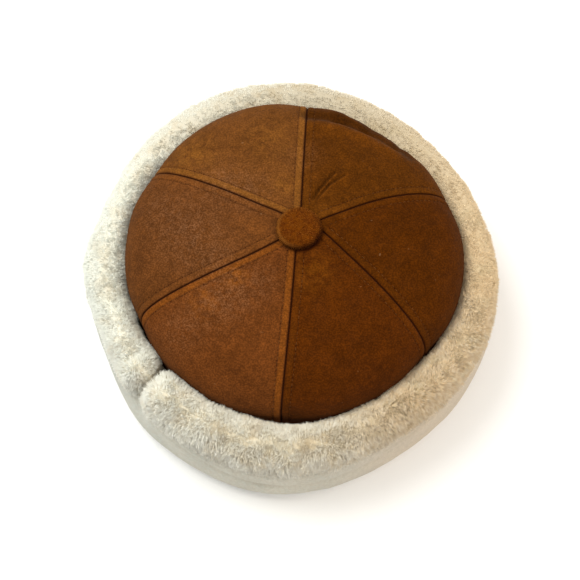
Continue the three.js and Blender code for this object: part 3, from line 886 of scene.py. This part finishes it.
def crown_panel(index, material):
    """One panel of the crown, from the seam before it to the seam after it."""
    rows = crown_profile()
    after = (index + 1) % len(SEAMS["rim"])
    radius = rows["reach"] * CROWN_RADIUS
    start = np.radians(seam_azimuth(index, rows["reach"])) + SEAM_GAP / 2 / radius
    turn = (seam_azimuth(after, rows["reach"]) - seam_azimuth(index, rows["reach"])) % 360
    width = np.radians(turn) * radius - SEAM_GAP
    distance = panel_columns(width, MIDDLE_STEPS[index])
    azimuth = np.degrees(start + distance / radius)
    to_seam = np.minimum(distance, width - distance)
    flat = crown_point(rows, azimuth, 0)
    x, y = flat[..., 0] / CROWN_RADIUS, flat[..., 1] / CROWN_RADIUS
    dome = rows["rise"] > 0
    puff_fade = smoothstep(rows["reach"], *PUFF_FADE)
    soft = fold_relief(FOLDS, x, y) * dome - PANEL_PUFF * puff_fade * hump(to_seam, PUFF_WIDTH)
    inside = smoothstep(to_seam, 3 * MM, 9 * MM)
    waves = 0.3 * MM * soft_noise(flat, 26 * MM, 3 + index)
    waves = waves + 0.12 * MM * soft_noise(flat, 9 * MM, 13 + index)
    drawn = 0.14 * MM * soft_noise(flat * [1, 1, 0.5], 3.5 * MM, 23) * hump(to_seam - 7 * MM, 4 * MM)
    seam_fade = smoothstep(rows["reach"], *SEAM_FADE)
    sewn = seam_relief(to_seam, rows["along"]) * seam_fade
    wrinkles = fold_relief(WRINKLES, x, y)
    # Painted highlight on the crests of folds and wrinkles, painted shade in their valleys
    crest = np.clip(fold_relief(FOLDS, x, y) / (2 * MM) + wrinkles / (0.7 * MM), -1, 1)
    # A painted shadow on the leather round the button, strongest to its lower right
    from_button = flat[..., :2] - [APEX_SHIFT, 0]
    reach = np.linalg.norm(from_button, axis=-1)
    lower_right = clamp(from_button @ SHADED_SIDE / reach)
    button_shadow = hump(reach - BUTTON_RADIUS, 1.1 * MM) * (0.25 + 0.75 * lower_right)
    relief = soft + sewn + dome * (waves * inside + drawn * seam_fade + wrinkles)
    outer = on_axis(crown_point(rows, azimuth, relief))
    inner = on_axis(crown_point(rows, azimuth, soft - LEATHER_WALL))[::COARSE_ROWS, ::COARSE_COLUMNS]
    outer_ids = np.arange(outer[..., 0].size).reshape(outer.shape[:2])
    inner_ids = outer_ids.size + np.arange(inner[..., 0].size).reshape(inner.shape[:2])
    triangles = np.concatenate([
        grid_triangles(outer_ids)[:, ::-1],
        grid_triangles(inner_ids),
        edge_triangles(outer_ids[0], inner_ids[0])[:, ::-1],
        edge_triangles(outer_ids[-1], inner_ids[-1]),
        edge_triangles(outer_ids[:, 0], inner_ids[:, 0]),
        edge_triangles(outer_ids[:, -1], inner_ids[:, -1])[:, ::-1],
    ])

    def everywhere(numbers):
        full = np.broadcast_to(numbers, outer.shape[:2])
        return np.concatenate([full.ravel(), full[::COARSE_ROWS, ::COARSE_COLUMNS].ravel()])

    values = {
        "seam": everywhere(to_seam + (1 - seam_fade) * 20 * MM),
        "along": everywhere(rows["along"]),
        "rub": everywhere(patch_strength(RUBS, x, y)),
        "sheen_bloom": everywhere(patch_strength(SHEEN_BLOOMS, x, y)),
        "crest": everywhere(dome * crest),
        "button_shadow": everywhere(button_shadow),
    }
    points = np.concatenate([outer.reshape(-1, 3), inner.reshape(-1, 3)])
    name = f"crown_leather_{index + 1}"
    piece(name, points, triangles, material, [f"crown_panel_{index + 1}"], values)


def seam_stitches(index, material):
    """The two rows of stitches beside one seam, each stitch a short thread that dives at its ends."""
    rings, sides = len(STITCH_HEIGHT), STITCH_SIDES
    whole = dome_profile([0])["along"][0]
    places = (np.arange(FIRST_STITCH, int(whole / STITCH_PITCH)) + 0.5) * STITCH_PITCH
    share = np.linspace(-1, 1, rings)
    turn = 2 * np.pi * np.arange(sides) / sides
    fan = np.arange(1, sides - 1)
    points, triangles = [], []
    for side in (-1, 1):
        jitter = random.uniform(-0.12, 0.12, len(places)) * MM
        for place, wander in zip(places, jitter):
            along = place + share * STITCH_LENGTH / 2
            row = dome_profile(1 - along / whole)
            radius = row["reach"] * CROWN_RADIUS
            offset = side * (STITCH_OFFSET + wander)
            azimuth = seam_azimuth(index, row["reach"]) + np.degrees(offset / radius)
            flat = crown_point(row, azimuth, 0)
            x, y = flat[:, 0] / CROWN_RADIUS, flat[:, 1] / CROWN_RADIUS
            fade = smoothstep(row["reach"], *PUFF_FADE)
            floor = fold_relief(FOLDS, x, y) - PANEL_PUFF * fade * hump(STITCH_OFFSET, PUFF_WIDTH)
            groove = seam_relief(STITCH_OFFSET, place) * smoothstep(row["reach"], *SEAM_FADE)
            spine = crown_point(row, azimuth, floor + groove + STITCH_HEIGHT)
            forward = unit(np.gradient(spine, axis=0))
            up = unit(crown_point(row, azimuth, MM) - flat)
            across = unit(np.cross(forward, up))
            up = np.cross(across, forward)
            ring = np.cos(turn)[:, None] * across[:, None] + np.sin(turn)[:, None] * up[:, None]
            first = sum(len(block) for block in points)
            points.append((spine[:, None] + STITCH_THICKNESS[:, None, None] * ring).reshape(-1, 3))
            ids = first + np.arange(rings * sides).reshape(rings, sides)
            triangles.append(grid_triangles(closed(ids))[:, ::-1])
            triangles.append(np.stack([ids[0, 0] + 0 * fan, ids[0, fan + 1], ids[0, fan]], -1)[:, ::-1])
            triangles.append(np.stack([ids[-1, 0] + 0 * fan, ids[-1, fan], ids[-1, fan + 1]], -1)[:, ::-1])
    name = f"seam_stitches_{index + 1}"
    points, triangles = on_axis(np.concatenate(points)), np.concatenate(triangles)
    piece(name, points, triangles, material, [f"crown_panel_{index + 1}"])


# Button

def smooth_columns(columns, places):
    """Each column of a table at places counted in rows, on a smooth curve through the rows."""
    last = len(next(iter(columns.values()))) - 1
    row = np.clip(np.floor(places).astype(int), 0, last - 1)
    t = places - row
    found = {}
    for name, values in columns.items():
        before = values[np.maximum(row - 1, 0)]
        start, end = values[row], values[row + 1]
        after = values[np.minimum(row + 2, last)]
        found[name] = 0.5 * (
            2 * start
            + (end - before) * t
            + (2 * before - 5 * start + 4 * end - after) * t**2
            + (3 * start - before - 3 * end + after) * t**3
        )
    return found


def button(material, nap_material):
    """The covered button: a domed disc, a little uneven, its suede drawn in under its edge."""
    rings, sides = 64, 96
    places = np.linspace(0, len(BUTTON_SECTION["up"]) - 1, rings + 2)[1:-1]
    section = smooth_columns(BUTTON_SECTION, places)
    turn = 2 * np.pi * np.arange(sides) / sides
    uneven = 1 + 0.012 * np.cos(2 * turn - 0.6) + 0.008 * np.cos(3 * turn + 1)
    radius = BUTTON_RADIUS * np.clip(section["reach"], 0, 1.002)[:, None] * uneven
    z = BUTTON_FOOT + BUTTON_HEIGHT * np.clip(section["up"], 0, 1.02)[:, None] + 0 * turn
    pleats = 0.12 * MM * np.cos(22 * turn) * hump(section["up"][:, None] - 0.15, 0.16)
    x = (radius + pleats) * np.cos(turn) + APEX_SHIFT
    y = (radius + pleats) * np.sin(turn)
    grid = np.stack([x, y, z], axis=-1)
    top = smoothstep(section["up"], 0.2, 0.6)[:, None]
    lumps = 0.22 * MM * soft_noise(grid, 6 * MM, 5) + 0.08 * MM * soft_noise(grid, 2 * MM, 6)
    grid[..., 2] += top * lumps
    ids = np.arange(rings * sides).reshape(rings, sides)
    poles = np.array([
        [APEX_SHIFT, 0, BUTTON_FOOT],
        [APEX_SHIFT, 0, grid[-1, :, 2].mean()],
    ])
    low, high = rings * sides, rings * sides + 1
    next_side = np.roll(ids, -1, axis=1)
    under = np.stack([low + 0 * ids[0], next_side[0], ids[0]], -1)
    over = np.stack([high + 0 * ids[-1], ids[-1], next_side[-1]], -1)
    triangles = np.concatenate([grid_triangles(closed(ids))[:, ::-1], under, over])
    points = np.concatenate([grid.reshape(-1, 3), poles])
    values = button_light_and_shade(points)
    piece("button_cover", on_axis(points), triangles, material, ["crown_button"], values)
    button_nap(grid, nap_material)


def button_light_and_shade(points):
    """Where the button's edge gets a painted highlight on its left and a painted shade where it turns
    under on its lower right.
    """
    beside = (points[:, :2] - [APEX_SHIFT, 0]) / BUTTON_RADIUS
    reach = np.maximum(np.linalg.norm(beside, axis=-1), 0.01)
    left = clamp(beside @ HIGHLIGHT_SIDE / reach)
    lower_right = clamp(beside @ SHADED_SIDE / reach)
    return {"pale": hump(reach - 0.95, 0.06) * left, "under": hump(reach - 1.04, 0.13) * lower_right}


def button_nap(grid, material):
    """Short brushed hairs that stand and lie on the button's suede."""
    low, high = 14, len(grid) - 1
    area = np.linalg.norm(grid[low:high, 0, :2] - [APEX_SHIFT, 0], axis=-1)
    ring = random.choice(np.arange(low, high), NAP_HAIRS, p=area / area.sum())
    side = random.integers(0, grid.shape[1], NAP_HAIRS)
    share = random.uniform(0, 1, (2, NAP_HAIRS, 1))
    corner = grid[ring, side]
    up = grid[np.minimum(ring + 1, len(grid) - 1), side] - corner
    over = grid[ring, (side + 1) % grid.shape[1]] - corner
    root = corner + share[0] * up + share[1] * over
    outward = unit(np.cross(over, up))
    lie = unit(random.normal(size=root.shape) + [0.5, 0.6, 0])
    length = NAP_LENGTH * random.uniform(0.6, 1.2, (NAP_HAIRS, 1))
    elbow = root + 0.5 * length * unit(0.8 * outward + 0.5 * lie)
    tip = elbow + 0.6 * length * unit(0.35 * outward + lie)
    towards = random.normal(size=root.shape)
    corners = strand_corners(root - 0.1 * MM * outward, elbow, tip, NAP_RADIUS, towards)
    triangles = strand_triangles(NAP_HAIRS)
    tone = np.array([0.1, 0.5, 0.5, 0.9]) + random.normal(0, 0.25, (NAP_HAIRS, 1))
    tone = tone + 0.35 * soft_noise(root, 1.1 * MM, 81)[:, None]
    edge_light = button_light_and_shade(root)
    corners = on_axis(corners.reshape(-1, 3))
    values = {name: np.repeat(numbers, 4) for name, numbers in edge_light.items()}
    values["tone"] = tone.ravel()
    made = piece("button_nap", corners, triangles, material, ["crown_button"], values)
    made.data.normals_split_custom_set_from_vertices(np.repeat(outward, 4, axis=0))
    strand_map(made.data, NAP_HAIRS)


# Cuff

def wrapped(degrees):
    return (degrees + 180) % 360 - 180


def beside_parting(azimuth):
    """How far round the cuff a place lies from the parting."""
    return np.radians(wrapped(azimuth - PARTING_AZIMUTH)) * (CROWN_RADIUS + CUFF_THICKNESS / 2)


def cuff_surface(section, azimuth):
    """The cuff's outer form about the hat's own axis: section rows by azimuth columns."""
    rows = {name: column[:, None] for name, column in section.items()}
    angle = np.radians(azimuth)[None, :]
    inside = rim_radius(azimuth) + CLEARANCE
    lump = CUFF_THICKNESS * rows["lump"] * around(PLAN, azimuth, "wall")
    crease = CUFF_CREASE * rows["crease"] * around(CREASE_PLAN, azimuth, "depth")
    beside = beside_parting(azimuth)
    parting = PARTING_DEPTH * smoothstep(rows["up"], *PARTING_RISE) * hump(beside, PARTING_WIDTH)
    reach = rows["out"] * CUFF_THICKNESS + rows["flare"] * CUFF_FLARE + lump - crease
    reach = reach - parting * rows["lump"]
    lift = CUFF_HEIGHT * rows["lift"] * around(PLAN, azimuth, "top") - parting * rows["lift"]
    radius = inside + np.maximum(reach, 0)
    z = np.maximum(rows["up"], 0) * CUFF_HEIGHT + lift
    return np.stack(np.broadcast_arrays(radius * np.cos(angle), radius * np.sin(angle), z), axis=-1)


def surface_frame(points):
    """Unit directions over a grid that closes round the hat: down the section, round and out."""
    down = unit(np.gradient(points, axis=0))
    round_way = unit(np.roll(points, -1, axis=1) - np.roll(points, 1, axis=1))
    return down, round_way, unit(np.cross(down, round_way))


def cleft_share(azimuth, out, up):
    """How far a place is inside the cleft at the parting."""
    width = CLEFT_WIDTH + CLEFT_MOUTH * hump(out, 0.22)
    return hump(beside_parting(azimuth), width) * smoothstep(up, 0.5, 0.85)


def wool_shade(azimuth, out, up, z):
    """How shaded the wool is: beside the leather, in the cleft, in creases and below the roll."""
    beside_leather = around(WOOL_PLAN, azimuth, "edge") * smoothstep(out, 0.3, 0.06)
    beside_leather = beside_leather * smoothstep(up, 0.7, 0.85)
    creases = -0.35 * wall_creases(azimuth, z) / MM
    below_roll = around(CREASE_PLAN, azimuth, "depth") * hump(up - 0.69, 0.035) * smoothstep(out, 0.5, 0.9)
    total = beside_leather + cleft_share(azimuth, out, up) + creases + 0.4 * below_roll
    return clamp(total)


def wall_creases(azimuth, z):
    """Shallow creases pressed into the wool of the wall, by azimuth and height."""
    total = 0
    for start, end, low, high, width, depth in zip(*CREASES.values()):
        along = wrapped(azimuth - start) / (end - start)
        line = (low + (high - low) * clamp(along)) * MM
        past = np.maximum(0, np.maximum(-along, along - 1)) * (end - start)
        total = total - depth * MM * hump(z - line, width * MM) * hump(past, 5)
    return total


def cuff_base():
    """The fleece under the strands: its points, its directions and the section's wool columns."""
    places = np.linspace(0, LAST_ROW, LAST_ROW * STEPS_A_ROW + 1)
    section = smooth_columns(CUFF_SECTION, places)
    azimuth = np.arange(CUFF_COLUMNS) * 360 / CUFF_COLUMNS
    outside = cuff_surface(section, azimuth)
    outward = surface_frame(outside)[2]
    rough = clamp(section["rough"])[:, None]
    pile = np.maximum(section["pile"], 0.3)[:, None] * MM
    depth = section["sink"][:, None] * pile * np.clip(section["stand"], 0.2, 1)[:, None]
    depth = depth * around(WOOL_PLAN, azimuth, "length")
    lumps = sum(height * soft_noise(outside, size, seed) for height, size, seed in LUMPS)
    pressed = clamp(section["press"])[:, None]
    slack = 0.55 * soft_noise(outside * [1, 1, 0.6], 26 * MM, 34) * pressed
    stands = smoothstep(section["rough"], 0, 0.15)[:, None]
    move = -depth + stands * (rough * lumps + slack) * MM
    move = move + stands * pressed * wall_creases(azimuth[None, :], outside[..., 2])
    points = outside + move[..., None] * outward
    out, up = section["out"][:, None], section["up"][:, None]
    cleft = cleft_share(azimuth, out, up)
    lobe = hump(beside_parting(azimuth) - LOBE_OFFSET, LOBE_WIDTH) * smoothstep(up, 0.85, 0.98)
    lip = hump(out, 0.25) * smoothstep(up, 0.7, 0.9)
    back = around(WOOL_PLAN, azimuth, "back") + 0.9 * soft_noise(outside, 8 * MM, 35)
    away = (CLEFT_SETBACK * cleft + back * MM) * lip
    points[..., 0] += away * np.cos(np.radians(azimuth))
    points[..., 1] += away * np.sin(np.radians(azimuth))
    points[..., 2] += LOBE_RISE * lobe - CLEFT_DEPTH * cleft
    points[..., 2] = np.maximum(points[..., 2], 0)
    return section, azimuth, points


def wool_values(azimuth, press, tone, down, shade):
    """How warm, long, dimmed by painted shade, pressed, light and shaded the wool is, and how far down its
    section.
    """
    return {
        "warm": clamp(around(WOOL_PLAN, azimuth, "warm")),
        "long": around(WOOL_PLAN, azimuth, "length"),
        "dull": clamp(around(WOOL_PLAN, azimuth, "dull")),
        "press": clamp(press),
        "tone": tone,
        "down": down,
        "shade": shade,
    }


def fleece(base, material):
    """The closed body of the cuff, with its hem folded under the crown's lower edge."""
    section, azimuth, points = base
    angle = np.radians(azimuth)
    crown = rim_radius(azimuth) - LEATHER_WALL

    def hem(beyond, z):
        radius = crown + beyond
        return np.stack([radius * np.cos(angle), radius * np.sin(angle), z + 0 * angle], axis=-1)

    loop = np.concatenate([
        hem(0, HEM_THICKNESS)[None],
        hem(LEATHER_WALL + CLEARANCE, HEM_THICKNESS)[None],
        points,
        hem(HEM_BEVEL, 0)[None],
        hem(0, HEM_BEVEL)[None],
    ])
    rows, columns = loop.shape[:2]
    ids = np.arange(rows * columns).reshape(rows, columns)
    ids = closed(np.concatenate([ids, ids[:1]]))
    press = np.concatenate([[1, 1], section["press"], [1, 1]])[:, None] + 0 * angle
    tone = np.concatenate([[0.5, 0.5], 0.4 + 0.3 * section["press"], [0.5, 0.5]])[:, None] + 0 * angle
    steps = np.linalg.norm(np.diff(points[:, 0], axis=0), axis=1)
    down = np.concatenate([[0, 0, 0], np.cumsum(steps), [steps.sum()] * 2])[:, None] + 0 * angle
    shade = wool_shade(azimuth, section["out"][:, None], section["up"][:, None], points[..., 2])
    hidden = np.zeros((2, columns))
    shade = np.concatenate([hidden, shade, hidden])
    values = wool_values(azimuth + 0 * press, press, tone, down, shade)
    # The fleece is dimmed with painted shade, by azimuth where it is loose and evenly on the pressed wall
    under = clamp(around(WOOL_PLAN, azimuth, "under"))
    values["dull"] = under + (WALL_DIMMING - under) * clamp(press)
    triangles = grid_triangles(ids)
    loop = on_axis(loop.reshape(-1, 3))
    made = piece("cuff_fleece", loop, triangles, material, ["shearling_cuff"], values)
    outward = np.empty(loop.size, np.float32)
    made.data.vertices.foreach_get("normal", outward)
    loose = 1 - clamp(press).reshape(-1, 1)
    facing = unit(outward.reshape(-1, 3) + UPWARD * loose * [0, 0, 1])
    made.data.normals_split_custom_set_from_vertices(facing)


def at_grid(values, row, column):
    """Values of a grid that closes round the hat, at places between its points."""
    low = np.clip(np.floor(row).astype(int), 0, values.shape[0] - 2)
    left = np.floor(column).astype(int) % values.shape[1]
    right = (left + 1) % values.shape[1]
    down = (row - low).reshape(-1, *[1] * (values.ndim - 2))
    over = (column - np.floor(column)).reshape(-1, *[1] * (values.ndim - 2))
    above = values[low, left] * (1 - over) + values[low, right] * over
    below = values[low + 1, left] * (1 - over) + values[low + 1, right] * over
    return above * (1 - down) + below * down


def wool_strands(base, material):
    """Thin tapered strands in small locks, which stand or lie on the fleece."""
    section, azimuth, points = base
    step = np.linalg.norm(np.diff(points[:, 0], axis=0), axis=1)
    down_at = np.concatenate([[0], np.cumsum(step)])
    growth = np.clip(section["growth"], 0, None)
    amount = np.concatenate([[0], np.cumsum(step * (growth[1:] + growth[:-1]) / 2)])
    row = np.interp(random.uniform(0, amount[-1], LOCKS), amount, np.arange(len(amount)))
    dense = np.cumsum(around(WOOL_PLAN, azimuth, "length"))
    column = np.sort(np.interp(random.uniform(0, dense[-1], LOCKS), dense, np.arange(CUFF_COLUMNS)))
    down, round_way, outward = surface_frame(points)
    foot = at_grid(points, row, column)
    normal = unit(at_grid(outward, row, column))
    along = unit(at_grid(down, row, column))
    sideways = unit(at_grid(round_way, row, column))
    wool_row = {name: np.interp(row, np.arange(len(amount)), values) for name, values in section.items()}
    azimuth_of = column * 360 / CUFF_COLUMNS
    locks = np.clip(around(WOOL_PLAN, azimuth_of, "locks"), 0.3, 1.3)[:, None]
    stand = np.clip(wool_row["stand"], 0.2, 1)[:, None]
    loose = 1 - clamp(wool_row["press"])[:, None]
    lean = wool_row["comb"][:, None] * along
    tuft = sum(share * noise_vectors(foot, size, seed) for share, size, seed in TUFTS)
    lean = lean + (0.25 + 0.75 * loose * locks) * tuft
    lean = lean + (0.05 + 0.04 * locks) * random.normal(size=(LOCKS, 3))
    lean = lean + 0.2 * soft_noise(foot, 30 * MM, 61)[:, None] * sideways
    length = wool_row["pile"] * MM * random.uniform(0.8, 1.15, LOCKS)
    length = length * (1 + 0.2 * soft_noise(foot, 3.2 * MM, 71)) * around(WOOL_PLAN, azimuth_of, "length")
    shade = wool_shade(azimuth_of, wool_row["out"], wool_row["up"], foot[:, 2])
    length = length * (1 - 0.6 * cleft_share(azimuth_of, wool_row["out"], wool_row["up"]))
    first = unit(normal * stand + 0.45 * lean)
    last = unit(normal * stand + 1.1 * lean)

    def apart(shares):
        """Directions across each lock for its strands."""
        turn = random.uniform(0, 2 * math.pi, (LOCKS, LOCK_STRANDS, 1))
        size = shares * np.sqrt(random.uniform(0, 1, (LOCKS, LOCK_STRANDS, 1)))
        return size * (np.cos(turn) * along[:, None] + np.sin(turn) * sideways[:, None])

    width = (0.35 + 0.12 * wool_row["pile"])[:, None, None] * MM
    spots = apart(1.0)
    root = foot[:, None] - ROOT_DEPTH * normal[:, None] + width * spots
    size = length[:, None, None] * random.uniform(0.65, 1.15, (LOCKS, LOCK_STRANDS, 1))
    gather = 1 - 0.4 * locks[:, None]
    elbow = foot[:, None] + 0.5 * size * first[:, None] + width * (0.5 + 0.5 * gather) * spots
    tip = elbow + 0.55 * size * last[:, None] + width * (gather - 0.3 * locks[:, None]) * spots
    tip = tip + 0.25 * width * apart(1.0)
    root, elbow, tip = (place.reshape(-1, 3) for place in (root, elbow, tip))
    for place in (elbow, tip):
        place[:, 2] = np.maximum(place[:, 2], ABOVE_FLOOR)
    strands = LOCKS * LOCK_STRANDS
    pressed = np.repeat(1 - loose, LOCK_STRANDS, axis=0)
    radius = STRAND_RADIUS * (1 - 0.35 * pressed) * random.uniform(0.75, 1.25, (strands, 1))
    towards = np.repeat(normal, LOCK_STRANDS, axis=0) + 0.35 * random.normal(size=root.shape)
    strand_points = strand_corners(root, elbow, tip, radius, towards)
    uneven = random.normal(0, 0.12, LOCKS)[:, None] + random.normal(0, 0.07, (LOCKS, LOCK_STRANDS))
    tone = np.array([0.1, 0.7, 0.7, 0.92]) + np.clip(uneven, -0.35, 0.35).reshape(-1, 1)
    down_of = np.interp(row, np.arange(len(down_at)), down_at)
    own = unit(strand_points - strand_points.mean(axis=1, keepdims=True))
    facing = normal + UPWARD * loose * [0, 0, 1]
    soft_normals = unit(0.3 * own + np.repeat(unit(facing), LOCK_STRANDS, axis=0)[:, None, :])
    for index in range(WOOL_PIECES):
        low = index * strands // WOOL_PIECES
        high = (index + 1) * strands // WOOL_PIECES
        count = high - low
        lock = np.repeat(np.arange(LOCKS), 4 * LOCK_STRANDS)[4 * low:4 * high]
        values = wool_values(
            azimuth_of[lock], wool_row["press"][lock], tone[low:high].ravel(), down_of[lock], shade[lock]
        )
        corners = on_axis(strand_points[low:high].reshape(-1, 3))
        name = f"cuff_wool_{index + 1}"
        triangles = strand_triangles(count)
        made = piece(name, corners, triangles, material, ["shearling_cuff"], values)
        made.data.normals_split_custom_set_from_vertices(soft_normals[low:high].reshape(-1, 3))
        strand_map(made.data, count)


# Picture

def camera():
    data = bpy.data.cameras.new("camera")
    data.lens = CAMERA_LENS
    data.sensor_width = CAMERA_SENSOR
    made = add_object("camera", data)
    made.location = CAMERA_PLACE
    made.rotation_euler = (CAMERA_TILT, 0, 0)
    bpy.context.scene.camera = made


def area_light(name, place, target, size, power, colour):
    data = bpy.data.lights.new(name, "AREA")
    data.shape = "DISK"
    data.size = size
    data.energy = power
    data.color = colour
    made = add_object(name, data)
    made.location = place
    made.rotation_euler = (Vector(place) - Vector(target)).to_track_quat("Z", "Y").to_euler()


def studio():
    """A plain pale floor, an even pale surround, a large soft key and a weak warm fill."""
    scene = bpy.context.scene
    scene.view_settings.view_transform = "Standard"
    world = bpy.data.worlds.new("studio")
    world.use_nodes = True
    background = world.node_tree.nodes["Background"]
    background.inputs["Color"].default_value = (1.0, 0.99, 0.97, 1)
    background.inputs["Strength"].default_value = 0.76
    scene.world = world
    middle = (AXIS_X, AXIS_Y, 0.06)
    area_light("key", (-0.45, 0.2, 1.05), middle, 0.6, 7.9, (0.98, 1.0, 0.97))
    area_light("fill", (0.6, -0.1, 0.85), middle, 0.7, 3.1, (1.0, 0.88, 0.72))
    mesh = bpy.data.meshes.new("floor")
    reach = 4
    corners = [(-reach, -reach, 0), (reach, -reach, 0), (reach, reach, 0), (-reach, reach, 0)]
    mesh.from_pydata(corners, [], [(0, 1, 2, 3)])
    paint = Paint("pale_floor", (0.94, 0.94, 0.94), Roughness=0.9, Specular_IOR_Level=0.1)
    paint.lay(paint.noise(0.3, 2), (0.97, 0.97, 0.97))
    mesh.materials.append(paint.finish())
    floor = add_object("floor", mesh)


camera()
studio()

thread = sewing_thread("thread")
for panel, (tint, rubbed, welt_lightening) in enumerate(PANEL_TINTS):
    crown_panel(panel, nubuck(f"nubuck_{panel + 1}", tint, rubbed, welt_lightening, 0.31 * panel))
    seam_stitches(panel, thread)
button(suede("button_suede"), nap_hair("button_nap"))

base = cuff_base()
fleece(base, wool("fleece", 0.75))
wool_strands(base, wool("wool", 0.3))
